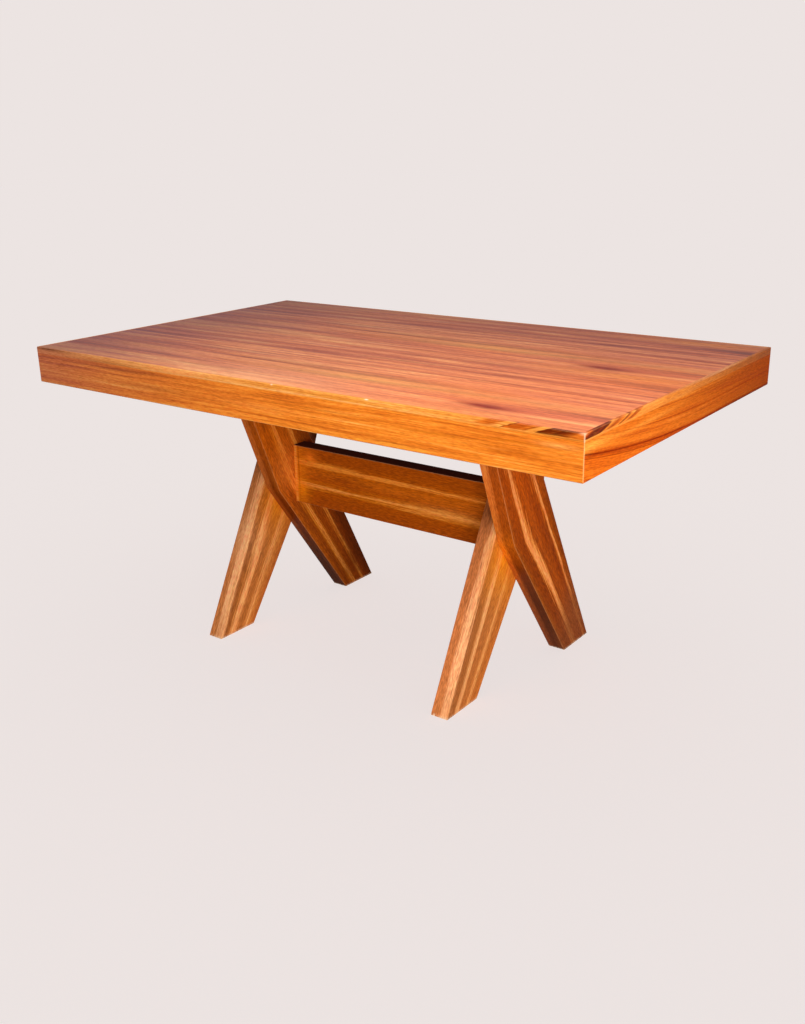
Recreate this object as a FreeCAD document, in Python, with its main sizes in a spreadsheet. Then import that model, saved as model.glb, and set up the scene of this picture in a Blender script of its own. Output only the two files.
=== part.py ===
"""Dining table with two crossed trestles, a stretcher and a deep-edged top.

The frame has +X along the length, +Y to the back and +Z up. The origin is on the floor, under the
middle of the table. Each trestle is two equal leg boards that cross face to face, one turned half
round against the other. All lengths are in millimetres.
"""
import FreeCAD, Part
import os
import Sketcher

sizes = {
    # the whole table
    "table_length": 1500.0,
    "table_width": 900.0,
    "table_height": 750.0,
    # veneered panel and the strip glued round its edge
    "panel_thickness": 15.0,
    "lipping_width": 6.0,
    "lipping_arris": 1.0,
    # boards under the rim of the panel, mitred at the corners
    "edge_board_depth": 72.0,
    "edge_board_thickness": 22.0,
    "edge_board_arris": 1.5,
    "corner_arris": 1.5,
    # loose tongues in the mitres
    "spline_thickness": 4.0,
    "spline_width": 16.0,
    "spline_height": 50.0,
    # blocks glued into the corners and along the rim
    "corner_block_leg": 70.0,
    "corner_block_height": 60.0,
    "corner_block_heel": 12.0,
    "glue_block_length": 70.0,
    "glue_block_side": 26.0,
    "glue_block_bevel": 18.0,
    # trestles: two boards each, side by side at the crossing
    "trestle_spacing": 710.0,
    "leg_thickness": 45.0,
    "leg_arris": 1.2,
    "foot_spread": 570.0,
    "foot_width": 120.0,
    "knee_height": 355.0,
    "knee_offset": 83.0,
    "arm_spread": 422.0,
    "arm_width": 146.0,
    # tenons on the arms, pegged into the bearers
    "bearer_thickness": 45.0,
    "arm_tenon_thickness": 15.0,
    "arm_tenon_width": 100.0,
    "arm_tenon_length": 30.0,
    "peg_diameter": 10.0,
    "peg_length": 36.0,
    # dowels between the two boards of a trestle; the inset is from the ends of the crossing
    "dowel_diameter": 12.0,
    "dowel_length": 36.0,
    "dowel_spread": 100.0,
    "dowel_inset": 50.0,
    # stretcher and its stub tenons
    "stretcher_bottom": 312.0,
    "stretcher_height": 155.0,
    "stretcher_thickness": 45.0,
    "stretcher_arris": 1.2,
    "stretcher_tenon_thickness": 15.0,
    "stretcher_tenon_height": 115.0,
    "stretcher_tenon_length": 20.0,
    # screws from the bearers up into the panel; the bite is their length inside it
    "screw_diameter": 5.0,
    "screw_bite": 10.0,
    "screw_head_diameter": 10.0,
    "screw_head_height": 3.0,
    "screw_sink": 10.0,
    # play on each side of a fit, and room for glue at the end of a blind hole
    "fit_play": 0.1,
    "glue_room": 1.0,
    # how far a cut starts outside the wood
    "overrun": 5.0,
}

# screw places along a bearer, as shares of half its length
screw_place_shares = (-0.78, 0, 0.78)
# glue blocks in each bay along the rim, as shares of the bay from its middle
inner_bay_shares = (-0.55, 0, 0.55)
outer_bay_shares = (0,)
end_bay_shares = (-0.55, 0, 0.55)
# places that differ by less than this share of the overrun count as one
same_place_share = 1e-4

# heights and places that follow from the sizes
panel_bottom = "(Sizes.table_height - Sizes.panel_thickness)"
edge_bottom = f"({panel_bottom} - Sizes.edge_board_depth)"
arm_top = f"({panel_bottom} - Sizes.bearer_thickness)"
arm_middle = "(Sizes.arm_spread / 2 - Sizes.arm_width / 2)"
arm_inner = "(Sizes.arm_spread / 2 - Sizes.arm_width)"
foot_outer = "(Sizes.foot_spread / 2)"
foot_inner = "(Sizes.foot_spread / 2 - Sizes.foot_width)"
crossing_bottom = f"(Sizes.knee_height * {foot_inner} / ({foot_inner} + Sizes.knee_offset))"
crossing_top = f"({arm_top} * {foot_outer} / ({foot_outer} + {arm_inner}))"
bearer_half_length = "(Sizes.table_width / 2 - Sizes.edge_board_thickness)"
stretcher_middle = "(Sizes.stretcher_bottom + Sizes.stretcher_height / 2)"
shoulder_spacing = "(Sizes.trestle_spacing - 2 * Sizes.leg_thickness)"
screw_length = "(Sizes.bearer_thickness - Sizes.screw_sink + Sizes.screw_bite)"
trestle_places = {"left": "-Sizes.trestle_spacing / 2", "right": "Sizes.trestle_spacing / 2"}

doc = FreeCAD.newDocument("table")
sheet = doc.addObject("Spreadsheet::Sheet", "Sizes")
for row, (alias, value) in enumerate(sizes.items(), start=1):
    sheet.set(f"A{row}", alias)
    sheet.set(f"B{row}", str(value))
    sheet.setAlias(f"B{row}", alias)
doc.recompute()


def number(expression):
    """Value of an expression in the sheet's sizes."""
    return float(sheet.evalExpression(expression))


def origin_feature(body, role):
    return next(feature for feature in body.Origin.OriginFeatures if feature.Role == role)


def new_body(label, x="0", y="0", z="0", turn=0):
    """Body for one sub-part, its place bound to the sheet, turned about the vertical by whole degrees."""
    body = doc.addObject("PartDesign::Body", label)
    body.Label = label
    body.Placement.Rotation = FreeCAD.Rotation(FreeCAD.Vector(0, 0, 1), turn)
    for axis, expression in zip("xyz", (x, y, z)):
        body.setExpression(f"Placement.Base.{axis}", expression)
    return body


def new_sketch(body, role, lift="0"):
    """Sketch on one of the body's own planes, lifted along the plane's normal."""
    sketch = body.newObject("Sketcher::SketchObject", f"{body.Label}_sketch")
    sketch.AttachmentSupport = [(origin_feature(body, role), "")]
    sketch.MapMode = "FlatFace"
    sketch.setExpression("AttachmentOffset.Base.z", lift)
    return sketch


def bind(sketch, constraint, expression):
    index = sketch.addConstraint(constraint)
    sketch.setExpression(f"Constraints[{index}]", expression)


def pin_point(sketch, geometry, point, place):
    """Holds a point of the sketch at a place given by two expressions."""
    for kind, axis, expression in (("DistanceX", -2, place[0]), ("DistanceY", -1, place[1])):
        if expression == "0":
            sketch.addConstraint(Sketcher.Constraint("PointOnObject", geometry, point, axis))
        elif number(expression) < 0:
            behind = Sketcher.Constraint(kind, geometry, point, -1, 1, -number(expression))
            bind(sketch, behind, f"-({expression})")
        else:
            ahead = Sketcher.Constraint(kind, -1, 1, geometry, point, number(expression))
            bind(sketch, ahead, expression)


def draw_polygon(sketch, corners):
    """Closed outline through corners, each a pair of expressions."""
    points = [FreeCAD.Vector(number(x), number(y), 0) for x, y in corners]
    ends = points[1:] + points[:1]
    first = sketch.GeometryCount
    for start, end in zip(points, ends):
        sketch.addGeometry(Part.LineSegment(start, end), False)
    for step, corner in enumerate(corners):
        following = first + (step + 1) % len(corners)
        sketch.addConstraint(Sketcher.Constraint("Coincident", first + step, 2, following, 1))
        pin_point(sketch, first + step, 1, corner)


def draw_rectangle(sketch, middle, width, height):
    """Rectangle about a middle point, all given by expressions."""
    left, right = f"{middle[0]} - ({width}) / 2", f"{middle[0]} + ({width}) / 2"
    low, high = f"{middle[1]} - ({height}) / 2", f"{middle[1]} + ({height}) / 2"
    draw_polygon(sketch, [(left, low), (right, low), (right, high), (left, high)])


def draw_circle(sketch, middle, diameter):
    centre = FreeCAD.Vector(number(middle[0]), number(middle[1]), 0)
    circle = Part.Circle(centre, FreeCAD.Vector(0, 0, 1), number(diameter) / 2)
    geometry = sketch.addGeometry(circle, False)
    pin_point(sketch, geometry, 3, middle)
    bind(sketch, Sketcher.Constraint("Diameter", geometry, number(diameter)), diameter)


def pad(body, sketch, length, symmetric=False, reverse=False):
    feature = body.newObject("PartDesign::Pad", f"{body.Label}_pad")
    feature.Profile = sketch
    feature.SideType = "Symmetric" if symmetric else "One side"
    feature.Reversed = reverse
    feature.setExpression("Length", length)
    doc.recompute()
    return feature


def pocket(body, sketch, depth, reverse=False):
    """Cut of a stated depth. A cut that takes no wood away stops the build."""
    before = body.Shape.Volume
    feature = body.newObject("PartDesign::Pocket", f"{body.Label}_pocket")
    feature.Profile = sketch
    feature.Reversed = reverse
    feature.setExpression("Length", depth)
    doc.recompute()
    if not body.Shape.Volume < before:
        raise RuntimeError(f"a cut in {body.Label} removes nothing")
    return feature


def half_turn_copy(body, feature):
    """Repeats a feature on the other side of the vertical axis."""
    pattern = body.newObject("PartDesign::PolarPattern", f"{body.Label}_half_turn")
    pattern.Originals = [feature]
    pattern.Axis = (origin_feature(body, "Z_Axis"), [""])
    pattern.Angle = 360
    pattern.Occurrences = 2
    body.Tip = pattern
    doc.recompute()


def ease(body, wanted, size):
    """Planes a flat arris on the edges that the wanted test picks out of the body."""
    base = body.Tip
    names = [f"Edge{index}" for index, edge in enumerate(base.Shape.Edges, start=1) if wanted(edge)]
    if not names:
        raise RuntimeError(f"no edge of {body.Label} to ease")
    feature = body.newObject("PartDesign::Chamfer", f"{body.Label}_arris")
    feature.Base = (base, names)
    feature.setExpression("Size", size)
    doc.recompute()


def ends_meet(edge, test):
    return all(test(vertex.Point) for vertex in edge.Vertexes)


def near(value, expression):
    """True where a measured place is at the expression's value."""
    return abs(value - number(expression)) < same_place_share * sizes["overrun"]


# where each of the four sides of the top stands, and the length along it
rim_sides = {
    "front": {"turn": 0, "x": "0", "y": "-Sizes.table_width / 2", "span": "Sizes.table_length"},
    "right": {"turn": 90, "x": "Sizes.table_length / 2", "y": "0", "span": "Sizes.table_width"},
    "rear": {"turn": 180, "x": "0", "y": "Sizes.table_width / 2", "span": "Sizes.table_length"},
    "left": {"turn": 270, "x": "-Sizes.table_length / 2", "y": "0", "span": "Sizes.table_width"},
}


def mitred_strip(label, side, bottom, thickness, height):
    """Strip along one side: its outer face is on the side's line, both ends are cut at 45 degrees."""
    body = new_body(label, side["x"], side["y"], bottom, side["turn"])
    half = f"{side['span']} / 2"
    sketch = new_sketch(body, "XY_Plane")
    draw_polygon(sketch, [
        (f"-({half} - Sizes.corner_arris)", "0"),
        (f"{half} - Sizes.corner_arris", "0"),
        (f"{half} - Sizes.corner_arris / 2", "Sizes.corner_arris / 2"),
        (f"{half} - {thickness}", thickness),
        (f"-({half} - {thickness})", thickness),
        (f"-({half} - Sizes.corner_arris / 2)", "Sizes.corner_arris / 2"),
    ])
    pad(body, sketch, height)
    return body


def ease_rim(body, level, size):
    """Arris along the outer edge of a strip at one level, with the short edges at its corners."""
    def on_rim(point):
        return point.y < number("Sizes.corner_arris") and near(point.z, level)
    ease(body, lambda edge: ends_meet(edge, on_rim), size)


def make_lipping(name, side):
    body = mitred_strip(f"lipping_{name}", side, panel_bottom, "Sizes.lipping_width", "Sizes.panel_thickness")
    ease_rim(body, "Sizes.panel_thickness", "Sizes.lipping_arris")
    return body


def make_edge_board(name, side):
    """Deep board under the rim, with a slot in each mitre for a loose tongue."""
    body = mitred_strip(f"edge_board_{name}", side, edge_bottom, "Sizes.edge_board_thickness",
                        "Sizes.edge_board_depth")
    sketch = new_sketch(body, "XY_Plane", "Sizes.edge_board_depth")
    middle_x = f"({side['span']} / 2 - Sizes.edge_board_thickness / 2)"
    middle_y = "Sizes.edge_board_thickness / 2"
    deep = "(Sizes.spline_width / 2 + Sizes.fit_play) * sqrt(0.5)"
    wide = "(Sizes.spline_thickness / 2 + Sizes.fit_play) * sqrt(0.5)"
    out = "Sizes.overrun * sqrt(0.5)"
    for sign in ("", "-"):
        draw_polygon(sketch, [
            (f"{sign}({middle_x} - {deep} + {wide})", f"{middle_y} - {deep} - {wide}"),
            (f"{sign}({middle_x} + {out} + {wide})", f"{middle_y} + {out} - {wide}"),
            (f"{sign}({middle_x} + {out} - {wide})", f"{middle_y} + {out} + {wide}"),
            (f"{sign}({middle_x} - {deep} - {wide})", f"{middle_y} - {deep} + {wide}"),
        ])
    pocket(body, sketch, "Sizes.spline_height + Sizes.glue_room")
    ease_rim(body, "0", "Sizes.edge_board_arris")
    return body


def make_mitre_splines():
    """Four loose tongues, each standing across a mitre with its top just under the panel."""
    body = new_body("mitre_splines", z=f"{panel_bottom} - Sizes.spline_height")
    sketch = new_sketch(body, "XY_Plane")
    middle_x = "(Sizes.table_length / 2 - Sizes.edge_board_thickness / 2)"
    middle_y = "(Sizes.table_width / 2 - Sizes.edge_board_thickness / 2)"
    deep = "Sizes.spline_width / 2 * sqrt(0.5)"
    wide = "Sizes.spline_thickness / 2 * sqrt(0.5)"
    for sign_x in ("", "-"):
        for sign_y in ("", "-"):
            draw_polygon(sketch, [
                (f"{sign_x}({middle_x} + {deep} + {wide})", f"{sign_y}({middle_y} - {deep} + {wide})"),
                (f"{sign_x}({middle_x} + {deep} - {wide})", f"{sign_y}({middle_y} - {deep} - {wide})"),
                (f"{sign_x}({middle_x} - {deep} - {wide})", f"{sign_y}({middle_y} + {deep} - {wide})"),
                (f"{sign_x}({middle_x} - {deep} + {wide})", f"{sign_y}({middle_y} + {deep} + {wide})"),
            ])
    pad(body, sketch, "Sizes.spline_height")
    return body


def make_corner_blocks():
    """Four three-sided blocks in the corners of the edge boards, cut back at the heel to clear the glue."""
    body = new_body("corner_blocks", z=f"{panel_bottom} - Sizes.corner_block_height")
    sketch = new_sketch(body, "XY_Plane")
    corner_x = "Sizes.table_length / 2 - Sizes.edge_board_thickness"
    corner_y = "Sizes.table_width / 2 - Sizes.edge_board_thickness"
    heel, leg = "Sizes.corner_block_heel", "Sizes.corner_block_leg"
    for sign_x in ("", "-"):
        for sign_y in ("", "-"):
            draw_polygon(sketch, [
                (f"{sign_x}({corner_x})", f"{sign_y}({corner_y} - {heel})"),
                (f"{sign_x}({corner_x} - {heel})", f"{sign_y}({corner_y})"),
                (f"{sign_x}({corner_x} - {leg})", f"{sign_y}({corner_y})"),
                (f"{sign_x}({corner_x})", f"{sign_y}({corner_y} - {leg})"),
            ])
    pad(body, sketch, "Sizes.corner_block_height")
    return body


def glue_block_places(name):
    """Middles of the glue blocks along a side: between the bearers, past them, or along an end."""
    if name in ("left", "right"):
        return [f"{share} * {bearer_half_length}" for share in end_bay_shares]
    inner = f"({shoulder_spacing} / 2)"
    start = "(Sizes.trestle_spacing / 2 + Sizes.leg_thickness)"
    end = "(Sizes.table_length / 2 - Sizes.edge_board_thickness - Sizes.corner_block_leg)"
    places = [f"{share} * {inner}" for share in inner_bay_shares]
    for sign in ("", "-"):
        middle = f"({start} + {end}) / 2"
        places += [f"{sign}({middle} + {share} * ({end} - {start}) / 2)" for share in outer_bay_shares]
    return places


def make_glue_blocks(name, side):
    """Row of small blocks in the angle between an edge board and the panel, bevelled below."""
    body = new_body(f"glue_blocks_{name}", side["x"], side["y"], panel_bottom, side["turn"])
    sketch = new_sketch(body, "XY_Plane")
    middle = "(Sizes.edge_board_thickness + Sizes.glue_block_side / 2)"
    for place in glue_block_places(name):
        draw_rectangle(sketch, (place, middle), "Sizes.glue_block_length", "Sizes.glue_block_side")
    pad(body, sketch, "Sizes.glue_block_side", reverse=True)
    inner_face = "Sizes.edge_board_thickness + Sizes.glue_block_side"

    def low_inner(point):
        return near(point.y, inner_face) and near(point.z, "-Sizes.glue_block_side")
    ease(body, lambda edge: ends_meet(edge, low_inner), "Sizes.glue_block_bevel")
    return body


def screw_places():
    return [f"{share} * {bearer_half_length}" if share else "0" for share in screw_place_shares]


def make_top_panel():
    """Flat panel inside the lipping, with blind holes below for the bearers' screws."""
    body = new_body("top_panel", z=panel_bottom)
    sketch = new_sketch(body, "XY_Plane")
    draw_rectangle(sketch, ("0", "0"), "Sizes.table_length - 2 * Sizes.lipping_width",
                   "Sizes.table_width - 2 * Sizes.lipping_width")
    pad(body, sketch, "Sizes.panel_thickness")
    holes = new_sketch(body, "XY_Plane")
    for trestle in trestle_places.values():
        for place in screw_places():
            draw_circle(holes, (trestle, place), "Sizes.screw_diameter + 2 * Sizes.fit_play")
    pocket(body, holes, "Sizes.screw_bite + Sizes.glue_room", reverse=True)
    return body


def make_bearer(name, trestle):
    """Cross piece on top of a trestle: mortised below for the two arms, pegged, and bored for screws."""
    body = new_body(f"{name}_bearer", trestle, z=arm_top)
    outline = new_sketch(body, "XY_Plane")
    draw_rectangle(outline, ("0", "0"), "2 * Sizes.leg_thickness", f"2 * {bearer_half_length}")
    pad(body, outline, "Sizes.bearer_thickness")
    mortises = new_sketch(body, "XY_Plane")
    for sign in ("", "-"):
        middle = (f"{sign}(Sizes.leg_thickness / 2)", f"-({sign}{arm_middle})")
        draw_rectangle(mortises, middle, "Sizes.arm_tenon_thickness + 2 * Sizes.fit_play",
                       "Sizes.arm_tenon_width + 2 * Sizes.fit_play")
    pocket(body, mortises, "Sizes.arm_tenon_length + Sizes.glue_room", reverse=True)
    bores = new_sketch(body, "XY_Plane")
    sinks = new_sketch(body, "XY_Plane")
    for place in screw_places():
        draw_circle(bores, ("0", place), "Sizes.screw_diameter + 2 * Sizes.fit_play")
        draw_circle(sinks, ("0", place), "Sizes.screw_head_diameter + 2 * Sizes.fit_play")
    pocket(body, bores, "Sizes.bearer_thickness + Sizes.overrun", reverse=True)
    pocket(body, sinks, "Sizes.screw_sink", reverse=True)
    peg_hole = new_sketch(body, "YZ_Plane", "Sizes.leg_thickness")
    draw_circle(peg_hole, peg_place("0"), "Sizes.peg_diameter + 2 * Sizes.fit_play")
    half_turn_copy(body, pocket(body, peg_hole, "Sizes.peg_length"))
    return body


def peg_place(bottom):
    """Middle of a tenon, seen from the side of the bearer."""
    return f"-{arm_middle}", f"{bottom} + Sizes.arm_tenon_length / 2"


def make_bearer_pegs(name, trestle):
    """Pegs driven in from both sides of a bearer, one through each tenon."""
    body = new_body(f"{name}_bearer_pegs", trestle, z=arm_top)
    sketch = new_sketch(body, "YZ_Plane", "Sizes.leg_thickness")
    draw_circle(sketch, peg_place("0"), "Sizes.peg_diameter")
    half_turn_copy(body, pad(body, sketch, "Sizes.peg_length", reverse=True))
    return body


def make_bearer_screws(name, trestle):
    """Screws standing in a bearer: heads in the sinks, tips in the panel."""
    body = new_body(f"{name}_bearer_screws", trestle, z=f"{arm_top} + Sizes.screw_sink")
    shanks = new_sketch(body, "XY_Plane")
    heads = new_sketch(body, "XY_Plane")
    for place in screw_places():
        draw_circle(shanks, ("0", place), "Sizes.screw_diameter")
        draw_circle(heads, ("0", place), "Sizes.screw_head_diameter")
    pad(body, shanks, screw_length)
    pad(body, heads, "Sizes.screw_head_height", reverse=True)
    return body


def dowel_places():
    """Two dowels side by side at half the height of the crossing, and one near each of its ends."""
    side = "Sizes.dowel_spread / 2"
    level = f"({crossing_bottom} + {crossing_top}) / 2"
    return [
        (side, level),
        (f"-{side}", level),
        ("0", f"{crossing_bottom} + Sizes.dowel_inset"),
        ("0", f"{crossing_top} - Sizes.dowel_inset"),
    ]


def make_leg(label, trestle, turn, carries_stretcher):
    """Leg board from its foot, across the middle of the trestle, to its arm under the bearer.

    One long edge is straight and the other bends at the knee, so the board is widest at the crossing
    and tapers both ways. It starts at the middle plane of the trestle and is one thickness deep.
    """
    body = new_body(label, trestle, turn=turn)
    outline = new_sketch(body, "YZ_Plane")
    draw_polygon(outline, [
        (foot_inner, "0"),
        (foot_outer, "0"),
        (f"-{arm_inner}", arm_top),
        ("-Sizes.arm_spread / 2", arm_top),
        ("-Sizes.knee_offset", "Sizes.knee_height"),
    ])
    pad(body, outline, "Sizes.leg_thickness")

    def along_board(edge):
        across = edge.Vertexes[0].Point - edge.Vertexes[-1].Point
        return near(across.x, "0") and not near(across.z, "0")
    ease(body, along_board, "Sizes.leg_arris")
    tenon = new_sketch(body, "XY_Plane", arm_top)
    draw_rectangle(tenon, ("Sizes.leg_thickness / 2", f"-{arm_middle}"), "Sizes.arm_tenon_thickness",
                   "Sizes.arm_tenon_width")
    pad(body, tenon, "Sizes.arm_tenon_length")
    peg_hole = new_sketch(body, "YZ_Plane", "Sizes.leg_thickness")
    draw_circle(peg_hole, peg_place(arm_top), "Sizes.peg_diameter + 2 * Sizes.fit_play")
    pocket(body, peg_hole, "Sizes.leg_thickness")
    dowel_holes = new_sketch(body, "YZ_Plane")
    for place in dowel_places():
        draw_circle(dowel_holes, place, "Sizes.dowel_diameter + 2 * Sizes.fit_play")
    pocket(body, dowel_holes, "Sizes.dowel_length / 2 + Sizes.glue_room", reverse=True)
    if carries_stretcher:
        mortise = new_sketch(body, "YZ_Plane", "Sizes.leg_thickness")
        width = "Sizes.stretcher_tenon_thickness + 2 * Sizes.fit_play"
        height = "Sizes.stretcher_tenon_height + 2 * Sizes.fit_play"
        draw_rectangle(mortise, ("0", stretcher_middle), width, height)
        pocket(body, mortise, "Sizes.stretcher_tenon_length + Sizes.glue_room")
    return body


def make_crossing_dowels(name, trestle):
    """Dowels that lock the two boards of a trestle where they cross."""
    body = new_body(f"{name}_crossing_dowels", trestle)
    sketch = new_sketch(body, "YZ_Plane")
    for place in dowel_places():
        draw_circle(sketch, place, "Sizes.dowel_diameter")
    pad(body, sketch, "Sizes.dowel_length", symmetric=True)
    return body


def make_stretcher():
    """Board on edge between the trestles, with a stub tenon at each end."""
    body = new_body("stretcher", z=stretcher_middle)
    section = new_sketch(body, "YZ_Plane")
    draw_rectangle(section, ("0", "0"), "Sizes.stretcher_thickness", "Sizes.stretcher_height")
    pad(body, section, shoulder_spacing, symmetric=True)

    def along_board(edge):
        across = edge.Vertexes[0].Point - edge.Vertexes[-1].Point
        return near(across.y, "0") and near(across.z, "0")
    ease(body, along_board, "Sizes.stretcher_arris")
    tenons = new_sketch(body, "YZ_Plane")
    draw_rectangle(tenons, ("0", "0"), "Sizes.stretcher_tenon_thickness", "Sizes.stretcher_tenon_height")
    pad(body, tenons, f"{shoulder_spacing} + 2 * Sizes.stretcher_tenon_length", symmetric=True)
    return body


parts = [make_top_panel(), make_mitre_splines(), make_corner_blocks(), make_stretcher()]
for name, side in rim_sides.items():
    parts.append(make_lipping(name, side))
    parts.append(make_edge_board(name, side))
    parts.append(make_glue_blocks(name, side))
for name, trestle in trestle_places.items():
    parts.append(make_leg(f"{name}_rear_leg", trestle, 0, name == "left"))
    parts.append(make_leg(f"{name}_front_leg", trestle, 180, name == "right"))
    parts.append(make_crossing_dowels(name, trestle))
    parts.append(make_bearer(name, trestle))
    parts.append(make_bearer_pegs(name, trestle))
    parts.append(make_bearer_screws(name, trestle))

doc.recompute()
for item in doc.Objects:
    if "Invalid" in item.State or "Error" in item.State:
        raise RuntimeError(f"{item.Label} failed: {item.State}")
for part in parts:
    if part.Shape.isNull() or not part.Shape.isValid():
        raise RuntimeError(f"{part.Label} has no valid shape")

os.makedirs("parts", exist_ok=True)
for part in parts:
    part.Shape.exportStep(f"parts/{part.Label}.step")
    print(part.Label, len(part.Shape.Solids), "solids", round(part.Shape.Volume), "mm3")
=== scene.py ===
import math
import bpy
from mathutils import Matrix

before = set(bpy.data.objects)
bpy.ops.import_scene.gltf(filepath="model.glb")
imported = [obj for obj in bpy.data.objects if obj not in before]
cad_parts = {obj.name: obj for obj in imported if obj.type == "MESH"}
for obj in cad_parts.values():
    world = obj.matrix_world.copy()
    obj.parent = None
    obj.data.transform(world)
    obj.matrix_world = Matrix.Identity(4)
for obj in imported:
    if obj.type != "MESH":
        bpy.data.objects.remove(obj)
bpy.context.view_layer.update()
print("frame loaded:", len(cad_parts), "nodes")


def linearColour(hexText):
    # sRGB hex to linear red, green, blue and full alpha
    parts = [int(hexText[i:i + 2], 16) / 255 for i in (0, 2, 4)]
    return [p / 12.92 if p <= 0.04045 else ((p + 0.055) / 1.055) ** 2.4 for p in parts] + [1.0]


def addNode(tree, kind, links=None, stops=(), **settings):
    # one node: its settings, what each socket is joined or set to, and a colour ramp's stops in rising order
    node = tree.nodes.new("ShaderNode" + kind)
    for name, value in settings.items():
        setattr(node, name, value)
    for socket, value in (links or {}).items():
        if isinstance(value, bpy.types.Node):
            value = next(out for out in value.outputs if out.enabled)
        if isinstance(value, bpy.types.NodeSocket):
            tree.links.new(value, node.inputs[socket])
        else:
            node.inputs[socket].default_value = linearColour(value) if isinstance(value, str) else value
    for i, (place, colour) in enumerate(stops):
        marks = node.color_ramp.elements
        mark = marks[i] if i < len(marks) else marks.new(place)
        mark.position, mark.color = place, linearColour(colour)
    return node


# the photograph's viewpoint
viewpoint = {
    "place": (1.5395, -1.98794, 1.21716),
    "turnDegrees": (70.6635, 1.0721, 36.9168),
    "lensMm": 37.53,
    "sensorMm": 36.0,
}
cameraData = bpy.data.cameras.new("viewpoint")
cameraData.sensor_width = viewpoint["sensorMm"]
cameraData.lens = viewpoint["lensMm"]
camera = bpy.data.objects.new("viewpoint", cameraData)
camera.location = viewpoint["place"]
camera.rotation_euler = [math.radians(a) for a in viewpoint["turnDegrees"]]
bpy.context.scene.collection.objects.link(camera)
bpy.context.scene.camera = camera
bpy.context.scene.view_settings.view_transform = "Standard"
print("camera placed")

# pale studio: an even sheet of background colour, soft fill from all round, soft lamps kept off the floor
studio = {
    "backdropColour": "ECE4E2",
    "fillColour": "FFF9F2",
    "fillLevel": 0.34,
    "floorHalfSide": 30.0,
    "floorDrop": 0.0004,
    "floorShadowShare": 0.4,
    "lamps": {
        "topLamp": {"place": (0.55, -1.0, 1.75), "aim": (0.2, 0.0, 0.6), "side": 1.0, "watts": 21.5},
        "endLamp": {"place": (1.3, -0.36, 0.85), "aim": (0.3, 0.0, 0.6), "side": 0.5, "watts": 3.8,
                    "mirrored": False},  # low over the top, where it would burn out in the lacquer
        "sideLamp": {"place": (2.4, -0.8, 0.6), "aim": (0.0, 0.0, 0.4), "side": 1.4, "watts": 8.0},
        "frontLamp": {"place": (0.8, -1.8, 0.35), "aim": (0.0, 0.0, 0.3), "side": 0.9, "watts": 10.5},
        "trestleLamp": {"place": (2.0, -2.0, 0.4), "aim": (0.0, 0.0, 0.2), "side": 0.9, "watts": 25.5,
                        "lights": "trestle"},
        "backLamp": {"place": (-1.7, 2.3, 0.35), "aim": (0.0, 0.0, 0.4), "side": 0.6, "watts": 26.0},
    },
}


def seenDirectly(tree):
    # 1 for rays from the camera and for mirrored or transmitted ones, else 0
    path = addNode(tree, "LightPath")
    seen = path.outputs["Is Camera Ray"]
    for ray in ("Is Glossy Ray", "Is Transmission Ray"):
        seen = addNode(tree, "Math", {0: seen, 1: path.outputs[ray]}, operation="MAXIMUM")
    return seen


world = bpy.data.worlds.new("studio")
bpy.context.scene.world = world
world.use_nodes = True
tree = world.node_tree
tree.nodes.clear()
fill = addNode(tree, "Background", {"Color": studio["fillColour"], "Strength": studio["fillLevel"]})
backdrop = addNode(tree, "Background", {"Color": studio["backdropColour"], "Strength": 1.0})
mixed = addNode(tree, "MixShader", {0: seenDirectly(tree), 1: fill, 2: backdrop})
addNode(tree, "OutputWorld", {"Surface": mixed})

# floor: pale paper that takes a soft shadow; its glow makes up what the fill leaves short of the backdrop
floorShare = studio["floorShadowShare"]
glowColour = [b * (1 - floorShare * studio["fillLevel"] * f) / (1 - floorShare)
              for b, f in zip(linearColour(studio["backdropColour"]), linearColour(studio["fillColour"]))]
floorMaterial = bpy.data.materials.new("matt_paper_floor")
floorMaterial.use_nodes = True
tree = floorMaterial.node_tree
tree.nodes.clear()
paper = addNode(tree, "BsdfDiffuse", {"Color": studio["backdropColour"]})
glow = addNode(tree, "Emission", {"Color": glowColour, "Strength": 1.0})
share = addNode(tree, "Math", {0: seenDirectly(tree), 1: 1 - floorShare}, operation="MULTIPLY")
mixed = addNode(tree, "MixShader", {0: share, 1: paper, 2: glow})
addNode(tree, "OutputMaterial", {"Surface": mixed})

half, drop = studio["floorHalfSide"], -studio["floorDrop"]
floorMesh = bpy.data.meshes.new("floor")
floorMesh.from_pydata([(-half, -half, drop), (half, -half, drop), (half, half, drop), (-half, half, drop)],
                      [], [(0, 1, 2, 3)])
floorMesh.materials.append(floorMaterial)
floor = bpy.data.objects.new("floor", floorMesh)
bpy.context.scene.collection.objects.link(floor)

trestleNodes = [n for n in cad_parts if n.endswith("_leg") or n == "stretcher"]
lampGroups = {}
for group, nodes in (("table", list(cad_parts)), ("trestle", trestleNodes)):
    lampGroups[group] = bpy.data.collections.new("lit_" + group)
    for node in nodes:
        lampGroups[group].objects.link(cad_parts[node])
for name, values in studio["lamps"].items():
    lampData = bpy.data.lights.new(name, "AREA")
    lampData.size = values["side"]
    lampData.energy = values["watts"]
    lamp = bpy.data.objects.new(name, lampData)
    lamp.location = values["place"]
    towards = [a - p for a, p in zip(values["aim"], values["place"])]
    across = math.hypot(towards[0], towards[1])
    lamp.rotation_euler = (math.atan2(across, -towards[2]), 0.0, math.atan2(-towards[0], towards[1]))
    lamp.visible_camera = False
    lamp.visible_glossy = values.get("mirrored", True)
    lamp.light_linking.receiver_collection = lampGroups[values.get("lights", "table")]
    bpy.context.scene.collection.objects.link(lamp)
print("studio lit:", len(studio["lamps"]), "lamps")


def newMaterial(name):
    material = bpy.data.materials.new(name)
    material.use_nodes = True
    material.node_tree.nodes.clear()
    return material, material.node_tree


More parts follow.
